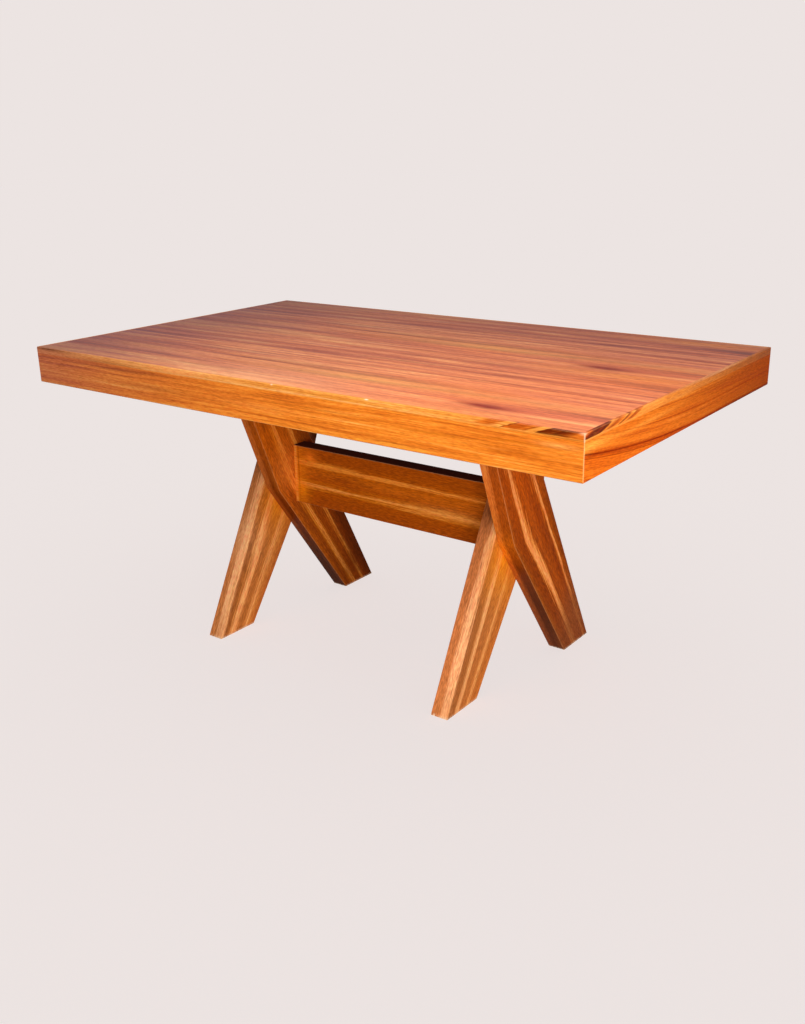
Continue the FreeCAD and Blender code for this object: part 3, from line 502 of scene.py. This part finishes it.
# legs: lacquered teak boards with pale sapwood streaks in brown heartwood, running down each board;
# the stops go from the bent edge (0) over the face to the straight edge (1) and on round that edge,
# and the bent and far ones go up the bent edge, beside that face and further in; on the rear legs the
# bent ones go near black towards the floor, painted shade where that edge faces down
legBoards = {
    "bentFoot": (0.165, -0.6986),  # bent edge below the knee: place at the floor, change per metre of height
    "bentArm": (0.0526, -0.382),  # bent edge above the knee
    "straightEdge": (0.285, -0.5072),
    "width": 0.13,
    "lengthPerHeight": 1.15,
    "turnIn": 0.6,  # how fast the figure goes on round the edge
    "driftFrom": 0.36,  # height at which the stops are as written
    "driftEnd": 0.17,  # no further drift below this height
    "stopSpan": (-0.1, 1.4),
    "ragged": {"band": 0.06, "streak": 0.06, "line": 0.05},
    "pores": {"share": 0.3, "colour": "703816", "flecks": 0.32},
    "endGrainColour": "5E3216",
    "endGrainShare": 0.55,
    "endNormal": (0.8, 0.95),  # upright part of the normal where end grain starts and is full
    "bentShare": 0.8,  # how far the bent edge takes its own tones, which go from the floor up to bentTop
    "bentNormal": (0.6, 0.8),  # outward part of the normal where the bent edge starts and is full
    "bentFar": (0.022, 0.032, 0.03),  # depth at which its far strip starts and is full, and how ragged it is
    "bentTop": 0.69,
    "arrisNormal": (0.7, 0.25, 0.1),  # sideways normal of a bevel, and how far off is none and full
    "specular": 0.015,
    "arrisWearAndHighlightShare": 0.15,
    "scuffRise": 0.006,  # lacquer rubbed pale along the foot
    "scuffColour": "DDBE9C",
    "boards": {
        "right_rear_leg": {
            "face": 0.4, "turned": 1, "drift": -2.2, "seed": 11.3,
            "stops": ((-0.1, "96480F"), (0.0, "9C4A0C"), (0.05, "984209"), (0.16, "8E3A05"),
                      (0.22, "984006"), (0.25, "E88034"), (0.31, "FFA65E"), (0.37, "E68234"),
                      (0.41, "984006"), (0.5, "B24E0A"), (0.7, "903804"), (0.75, "C8600F"),
                      (0.78, "FF9C52"), (0.82, "AC4E08"), (0.9, "903E06"), (1.0, "8A3E0C"),
                      (1.06, "A6541A"), (1.3, "A85618")),
            "bent": ((0.0, "3C1A06"), (0.25, "4A200A"), (0.4, "642C08"), (0.47, "A4500E"),
                     (0.52, "BC5E10"), (0.58, "A04A10"), (1.0, "A24C1A")),
            "far": ((0.0, "8C4620"), (0.25, "A25226"), (0.42, "C86620"), (0.49, "FF8E1C"),
                    (0.54, "E07828"), (0.75, "F4883C"), (1.0, "FF9C50")),
            "spots": (
                # painted light: brighter orange over the upper part
                ((0.4, -0.08, 0.52), (0.3, 0.3, 0.3), 0.35, "D85602"),
                # painted shade: darker towards the rear foot
                ((0.4, 0.24, 0.02), (0.04, 0.3, 0.24), 0.75, "8A4422"),
                ((0.4, 0.22, 0.11), (0.04, 0.13, 0.2), 0.8, "965228"),
                ((0.4, 0.17, 0.03), (0.03, 0.09, 0.2), 0.6, "86441E"),
            ),
        },
        "left_rear_leg": {
            "face": -0.31, "turned": 1, "drift": 0.0, "seed": 12.9,
            "stops": ((-0.1, "A44C0C"), (0.0, "B85A12"), (0.06, "B45610"), (0.11, "9A460E"),
                      (0.22, "A84E0A"), (0.27, "DC7A1E"), (0.31, "FFA046"), (0.35, "CA6A16"),
                      (0.4, "A44A0A"), (0.54, "A2480A"), (0.6, "CE6E1E"), (0.65, "EC9038"),
                      (0.7, "8E3C06"), (0.85, "763006"), (0.97, "5E2404"), (1.06, "9C4E18"),
                      (1.3, "A85618")),
            "bent": ((0.0, "2A1004"), (0.2, "3E1806"), (0.45, "642606"), (0.6, "6C2A04"),
                     (0.8, "803808"), (1.0, "783010")),
            "far": ((0.0, "3A1A0A"), (0.2, "62300F"), (0.45, "A4541E"), (0.6, "BC662E"),
                    (0.85, "C06A34"), (1.0, "7A3618")),
            "spots": (
                # painted light: brighter orange over the upper part
                ((-0.31, -0.1, 0.52), (0.3, 0.3, 0.28), 0.5, "E66C0A"),
                # painted shade: darker towards the foot, nearly black low down
                ((-0.31, 0.2, 0.06), (0.3, 0.22, 0.24), 0.55, "501B03"),
                ((-0.355, 0.1, 0.09), (0.07, 0.24, 0.32), 0.6, "1C0A02"),
                ((-0.31, -0.055, 0.41), (0.03, 0.09, 0.12), 0.95, "E47C2A"),
            ),
        },
        "right_front_leg": {
            "face": 0.355, "turned": -1, "drift": 0.4, "seed": 14.2,
            "stops": ((-0.1, "C06A2C"), (0.05, "D07632"), (0.2, "BE682A"), (0.28, "CA7636"),
                      (0.35, "F2A058"), (0.41, "CE7A38"), (0.5, "BC6C32"), (0.62, "B86830"),
                      (0.68, "EC9E5C"), (0.74, "F4AC6C"), (0.79, "DE9050"), (0.83, "AE6630"),
                      (0.92, "A45C2A"), (0.97, "B06A38"), (1.0, "E8A06A"), (1.05, "F0AA74"),
                      (1.095, "E09460"), (1.12, "BE6E3C"), (1.3, "B86838")),
            "bent": ((0.0, "9A5224"), (0.5, "B8682C"), (1.0, "A85A22")),
            "far": ((0.0, "B06632"), (0.5, "CC7A38"), (1.0, "B8682E")),
            "spots": (
                # painted light: bright orange glow on the inner face under the crossing, from light bounced
                # between the boards
                ((0.355, -0.05, 0.31), (0.03, 0.17, 0.18), 1.0, "F88E18"),
                # painted shade at the top of the straight edge, where it goes behind the rear leg
                ((0.332, -0.07, 0.425), (0.08, 0.07, 0.07), 1.0, "6E3A1C"),
                ((0.332, -0.28, 0.02), (0.06, 0.15, 0.14), 0.5, "B06A38"),
            ),
        },
        "left_front_leg": {
            "face": -0.355, "turned": -1, "drift": 0.9, "seed": 15.8,
            "stops": ((-0.1, "C06A2C"), (0.1, "C0682C"), (0.25, "D27E3A"), (0.31, "DE8C46"),
                      (0.36, "FAAA62"), (0.42, "CC7836"), (0.52, "B6682E"), (0.62, "BC6C32"),
                      (0.68, "F09C58"), (0.74, "FFB472"), (0.79, "D0803E"), (0.84, "A45C28"),
                      (0.95, "9E5828"), (0.99, "EEA468"), (1.05, "FAB47C"), (1.08, "E89C64"),
                      (1.11, "C07440"), (1.3, "B86C3A")),
            "bent": ((0.0, "A05626"), (0.5, "B4642A"), (1.0, "A45820")),
            "far": ((0.0, "B46A36"), (0.5, "C67636"), (1.0, "B4642C")),
            "spots": (
                # painted light: bright orange glow on the inner face under the crossing, from light bounced
                # between the boards
                ((-0.355, -0.05, 0.31), (0.03, 0.16, 0.17), 0.9, "F28812"),
                # painted shadow on the inner face of the arm, under the top
                ((-0.355, 0.12, 0.47), (0.03, 0.12, 0.12), 1.0, "240C06"),
                # painted shade at the top of the straight edge, below the crossing
                ((-0.378, -0.07, 0.425), (0.06, 0.07, 0.07), 0.8, "6E3A1C"),
                ((-0.378, -0.16, 0.25), (0.05, 0.12, 0.14), 0.5, "FFBC84"),
                ((-0.378, -0.28, 0.02), (0.06, 0.15, 0.14), 0.6, "AC6A38"),
            ),
        },
    },
}


def raggedRamp(tree, across, layers, piece, stops):
    # figure across a board, with ragged edges from the grain layers
    low, high = piece["stopSpan"]
    for name, share in piece["ragged"].items():
        across = addNode(tree, "Math", {0: layers[name], 1: share, 2: across}, operation="MULTIPLY_ADD")
    middle = sum(piece["ragged"].values()) / 2
    across = addNode(tree, "MapRange", {0: across, 1: low + middle, 2: high + middle})
    return addNode(tree, "ValToRGB", {0: across}, stops=[((s - low) / (high - low), c) for s, c in stops])


for node, board in legBoards["boards"].items():
    material, tree = newMaterial("lacquered_teak_" + node)
    where = addNode(tree, "SeparateXYZ", {0: addNode(tree, "TexCoord").outputs["Object"]})
    x, y, z = where.outputs
    edges = {}
    for edge in ("bentFoot", "bentArm", "straightEdge"):
        start, slope = legBoards[edge]
        edges[edge] = addNode(tree, "Math", {0: z, 1: slope, 2: start}, operation="MULTIPLY_ADD")
    bent = addNode(tree, "Math", {0: edges["bentFoot"], 1: edges["bentArm"]}, operation="MAXIMUM")
    ahead = addNode(tree, "Math", {0: y, 1: float(board["turned"])}, operation="MULTIPLY")
    ahead = addNode(tree, "Math", {0: ahead, 1: bent}, operation="SUBTRACT")
    full = addNode(tree, "Math", {0: edges["straightEdge"], 1: bent}, operation="SUBTRACT")
    share = addNode(tree, "Math", {0: ahead, 1: full}, operation="DIVIDE")
    along = addNode(tree, "Math", {0: z, 1: legBoards["lengthPerHeight"]}, operation="MULTIPLY")
    across = addNode(tree, "Math", {0: share, 1: legBoards["width"]}, operation="MULTIPLY")
    place = addNode(tree, "CombineXYZ", {0: along, 1: across, 2: x})
    seedAlong, seedAcross = [board["seed"] * s for s in woodwork["seedShift"][:2]]
    place = addNode(tree, "Mapping", {"Vector": place, "Location": (seedAlong, seedAcross, 0.0)})
    layers = grainLayers(tree, place, teakGrain)
    # on the way down the figure drifts across the board, most in its middle and not at all at its edges
    inward = legBoards["turnIn"] / legBoards["width"]
    deep = addNode(tree, "Math", {0: x, 1: -inward, 2: board["face"] * inward}, operation="MULTIPLY_ADD")
    down = addNode(tree, "Math", {0: z, 1: legBoards["driftEnd"]}, operation="MAXIMUM")
    lean = addNode(tree, "Math", {0: down, 1: -board["drift"], 2: legBoards["driftFrom"] * board["drift"]},
                   operation="MULTIPLY_ADD")
    left = addNode(tree, "Math", {0: 1.0, 1: share}, operation="SUBTRACT")
    middle = addNode(tree, "Math", {0: left, 1: share}, operation="MULTIPLY", use_clamp=True)
    lean = addNode(tree, "Math", {0: lean, 1: middle, 2: deep}, operation="MULTIPLY_ADD")
    figure = addNode(tree, "Math", {0: share, 1: lean}, operation="ADD")
    colour = raggedRamp(tree, figure, layers, legBoards, board["stops"])
    normal = addNode(tree, "NewGeometry").outputs["True Normal"]
    outward = addNode(tree, "SeparateXYZ", {0: normal}).outputs[1]
    outward = addNode(tree, "Math", {0: outward, 1: -float(board["turned"])}, operation="MULTIPLY")
    start, end = legBoards["bentNormal"]
    onBent = addNode(tree, "MapRange", {0: outward, 1: start, 2: end, 4: legBoards["bentShare"]})
    # the bent edge's tones by height, with painted shade taking them near black towards the floor on the
    # rear legs
    height = addNode(tree, "MapRange", {0: z, 1: 0.0, 2: legBoards["bentTop"]})
    bentToneWithShade = addNode(tree, "ValToRGB", {0: height}, stops=board["bent"])
    far = addNode(tree, "ValToRGB", {0: height}, stops=board["far"])
    start, end, ragged = legBoards["bentFar"]
    strip = addNode(tree, "Math", {0: layers["streak"], 1: ragged, 2: deep}, operation="MULTIPLY_ADD")
    strip = addNode(tree, "MapRange", {0: strip, 1: start * inward + ragged / 2,
                                       2: end * inward + ragged / 2})
    bentEdgeToneWithShade = addNode(tree, "Mix", {0: strip, 6: bentToneWithShade, 7: far}, data_type="RGBA")
    colour = addNode(tree, "Mix", {0: onBent, 6: colour, 7: bentEdgeToneWithShade}, data_type="RGBA")
    colour = paintSpots(tree, colour, addNode(tree, "TexCoord").outputs["Object"], board["spots"])
    colour = paintPores(tree, colour, layers, legBoards["pores"])
    facing = addNode(tree, "VectorMath", {0: normal}, operation="ABSOLUTE")
    facing = addNode(tree, "SeparateXYZ", {0: facing}).outputs
    start, end = legBoards["endNormal"]
    foot = addNode(tree, "MapRange", {0: facing[2], 1: start, 2: end, 4: legBoards["endGrainShare"]})
    colour = addNode(tree, "Mix", {0: foot, 6: colour, 7: legBoards["endGrainColour"]}, data_type="RGBA")
    scuff = addNode(tree, "MapRange", {0: z, 1: legBoards["scuffRise"], 2: 0.0})
    scuff = addNode(tree, "Math", {0: scuff, 1: layers["line"]}, operation="MULTIPLY")
    colour = addNode(tree, "Mix", {0: scuff, 6: colour, 7: legBoards["scuffColour"]}, data_type="RGBA")
    bevel, start, end = legBoards["arrisNormal"]
    slant = addNode(tree, "Math", {0: facing[0], 1: -bevel}, operation="ADD")
    slant = addNode(tree, "Math", {0: slant}, operation="ABSOLUTE")
    arris = addNode(tree, "MapRange", {0: slant, 1: start, 2: end})
    finish = {**satin, "specular": legBoards["specular"], "arrisWearAndHighlightShare": legBoards["arrisWearAndHighlightShare"]}
    finishWood(tree, colour, layers, finish, arris)
    giveMaterial(node, material)
print("legs finished")

# stretcher: one lacquered teak board on edge, two pale streaks along its face and a dark upper edge, painted
# shade under the top
stretcherBoard = {
    "bottom": 0.312,
    "height": 0.155,
    "face": -0.0225,
    "through": -0.3,  # how far the figure moves from the front face to the rear one, in heights per height
    "stopSpan": (-0.15, 1.1),
    "ragged": {"band": 0.08, "streak": 0.05, "line": 0.03},
    "pores": {"share": 0.35, "colour": "6A3414", "flecks": 0.27},
    "seed": 17.1,
    "specular": 0.0,
    "shadedTopColour": "5A3832",
    "shadedTopNormal": (0.5, 0.9),  # upward part of the normal where the upper edge starts and is full
    "stops": ((-0.1, "A84E10"), (0.10, "A64A0A"), (0.26, "AE5008"), (0.30, "CC6E16"), (0.335, "EC8C36"),
              (0.375, "F09642"), (0.41, "C4640E"), (0.46, "B2500A"), (0.58, "C46010"), (0.66, "BE5C0A"),
              (0.69, "E8842A"), (0.74, "EE8C32"), (0.775, "B45408"), (0.90, "A64A08"), (1.05, "AC4E0A")),
    "spots": (
        # painted light: bright orange at the left end, bounced from the crossing
        ((-0.315, -0.0225, 0.39), (0.080, 0.06, 0.40), 1.0, "F88E18"),
        ((-0.305, -0.0225, 0.39), (0.008, 0.02, 0.60), 0.8, "FFA048"),
        ((-0.295, -0.0225, 0.43), (0.005, 0.02, 0.30), 0.8, "9A3A08"),
        ((-0.20, -0.0225, 0.426), (0.18, 0.05, 0.016), 0.7, "F0902E"),
        ((-0.14, -0.0225, 0.396), (0.14, 0.05, 0.018), 0.6, "8A3404"),
        ((0.18, -0.0225, 0.37), (0.20, 0.05, 0.026), 0.6, "F09C48"),
        # painted shade: darker at the right end, in the right legs' shadow
        ((0.30, -0.0225, 0.39), (0.12, 0.05, 0.20), 0.5, "7E3C14"),
        # painted light: bright orange near the left leg, bounced from the crossing
        ((-0.254, -0.0225, 0.44), (0.05, 0.03, 0.035), 0.9, "FF8420"),
        ((-0.285, -0.0225, 0.35), (0.05, 0.03, 0.05), 0.7, "FF8E10")),
}
material, tree = newMaterial("lacquered_teak_stretcher")
where = addNode(tree, "SeparateXYZ", {0: addNode(tree, "TexCoord").outputs["Object"]})
perHeight = 1 / stretcherBoard["height"]
rise = addNode(tree, "Math", {0: where.outputs[2], 1: perHeight, 2: -stretcherBoard["bottom"] * perHeight},
               operation="MULTIPLY_ADD")
through = stretcherBoard["through"] * perHeight
back = addNode(tree, "Math", {0: where.outputs[1], 1: through, 2: -stretcherBoard["face"] * through},
               operation="MULTIPLY_ADD")
layers = grainLayers(tree, boardPlace(tree, 0, stretcherBoard["seed"]), teakGrain)
figure = addNode(tree, "Math", {0: rise, 1: back}, operation="ADD")
colour = raggedRamp(tree, figure, layers, stretcherBoard, stretcherBoard["stops"])
colour = paintSpots(tree, colour, addNode(tree, "TexCoord").outputs["Object"], stretcherBoard["spots"])
colour = paintPores(tree, colour, layers, stretcherBoard["pores"])
# painted shade: the upper edge darkened, as it lies in the shade of the top
facing = addNode(tree, "SeparateXYZ", {0: addNode(tree, "NewGeometry").outputs["True Normal"]}).outputs[2]
start, end = stretcherBoard["shadedTopNormal"]
upper = addNode(tree, "MapRange", {0: facing, 1: start, 2: end})
colour = addNode(tree, "Mix", {0: upper, 6: colour, 7: stretcherBoard["shadedTopColour"]}, data_type="RGBA")
finishWood(tree, colour, layers, {**satin, "specular": stretcherBoard["specular"]}, squareArris(tree))
giveMaterial("stretcher", material)

# hidden blocks and bearers: planed meranti, bare, so paler and quite matt
innerWood = {
    "tones": ((0.1, "8A5C36"), (0.5, "A87847"), (0.9, "BE9160")),
    "pores": {"share": 0.4, "colour": "6E4526", "flecks": 0.2},
    "bare": {**satin, "roughness": (0.62, 0.75), "specular": 0.3, "arrisWearAndHighlightColour": "CDA877"},
    "runs": {
        "lengthwise": (0, 21.7, ("glue_blocks_front", "glue_blocks_rear", "corner_blocks", "mitre_splines")),
        "crosswise": (90, 22.9, ("glue_blocks_left", "glue_blocks_right", "left_bearer", "right_bearer")),
    },
}
for run, (turn, seed, nodes) in innerWood["runs"].items():
    material, tree = newMaterial("planed_meranti_" + run)
    layers = grainLayers(tree, boardPlace(tree, turn, seed), teakGrain)
    colour = grainColour(tree, layers, teakGrain["shares"], innerWood["tones"])
    colour = paintPores(tree, colour, layers, innerWood["pores"])
    finishWood(tree, colour, layers, innerWood["bare"], squareArris(tree))
    for node in nodes:
        giveMaterial(node, material)

# dowels and pegs: turned beech, bare, pale with short darker flecks
beechGrain = {
    "swayMm": (120, 30, 30),
    "swingMm": 2,
    "layers": {
        "band": {"mm": (200, 6, 6), "detail": 2.0, "span": (0.34, 0.66)},
        "streak": {"mm": (60, 2.2, 2.2), "detail": 2.0, "span": (0.33, 0.67)},
        "line": {"mm": (30, 1.1, 1.1), "detail": 1.0, "span": (0.35, 0.65)},
        "pore": {"mm": (3.0, 0.7, 0.7), "detail": 1.0, "span": (0.6, 0.74)},
        "fleck": {"mm": (2.0, 0.6, 0.6), "detail": 1.0, "span": (0.3, 0.7)},
    },
    "shares": {"band": 0.4, "streak": 0.37, "line": 0.23},
}
beechPins = {
    "tones": ((0.1, "B98D5C"), (0.5, "CFA678"), (0.9, "E2C298")),
    "pores": {"share": 0.5, "colour": "9A6A3E", "flecks": 0.2},
    "bare": {**satin, "roughness": (0.55, 0.68), "specular": 0.3, "arrisWearAndHighlightColour": "E6CCA6"},
    "runs": {
        "crosswise": (90, 24.1, ("left_bearer_pegs", "right_bearer_pegs")),
        "lengthwise": (0, 25.3, ("left_crossing_dowels", "right_crossing_dowels")),
    },
}
for run, (turn, seed, nodes) in beechPins["runs"].items():
    material, tree = newMaterial("turned_beech_" + run)
    layers = grainLayers(tree, boardPlace(tree, turn, seed), beechGrain)
    colour = grainColour(tree, layers, beechGrain["shares"], beechPins["tones"])
    colour = paintPores(tree, colour, layers, beechPins["pores"])
    finishWood(tree, colour, layers, beechPins["bare"], squareArris(tree))
    for node in nodes:
        giveMaterial(node, material)

# screws: zinc plated steel, bright grey going faintly yellow, with cloudy plating and fine drawn scratches
zincScrews = {
    "cloudMm": 4.0,
    "cloudDetail": 3.0,
    "scratchMm": (0.4, 0.4, 5.0),  # drawn a few times coarser than real
    "scratchDetail": 2.0,
    "tones": ((0.3, "A9A595"), (0.55, "C2BDAA"), (0.8, "D4D0C0")),
    "roughness": (0.28, 0.46),
    "bump": 0.2,
    "dentMm": 0.05,
}
material, tree = newMaterial("zinc_plated_steel")
where = addNode(tree, "TexCoord").outputs["Object"]
clouds = addNode(tree, "TexNoise", {"Vector": where, "Scale": 1000 / zincScrews["cloudMm"],
                                    "Detail": zincScrews["cloudDetail"]})
colour = addNode(tree, "ValToRGB", {0: clouds}, stops=zincScrews["tones"])
drawn = addNode(tree, "VectorMath", {0: where, 1: [1000 / mm for mm in zincScrews["scratchMm"]]},
                operation="MULTIPLY")
scratches = addNode(tree, "TexNoise", {"Vector": drawn, "Scale": 1.0, "Detail": zincScrews["scratchDetail"]})
smoothest, roughest = zincScrews["roughness"]
rough = addNode(tree, "MapRange", {0: scratches, 3: smoothest, 4: roughest})
bump = addNode(tree, "Bump", {"Strength": zincScrews["bump"], "Distance": zincScrews["dentMm"] / 1000,
                              "Height": scratches})
shader = addNode(tree, "BsdfPrincipled", {"Base Color": colour, "Metallic": 1.0, "Roughness": rough,
                                          "Normal": bump})
addNode(tree, "OutputMaterial", {"Surface": shader})
for node in ("left_bearer_screws", "right_bearer_screws"):
    giveMaterial(node, material)
print("inner pieces finished")
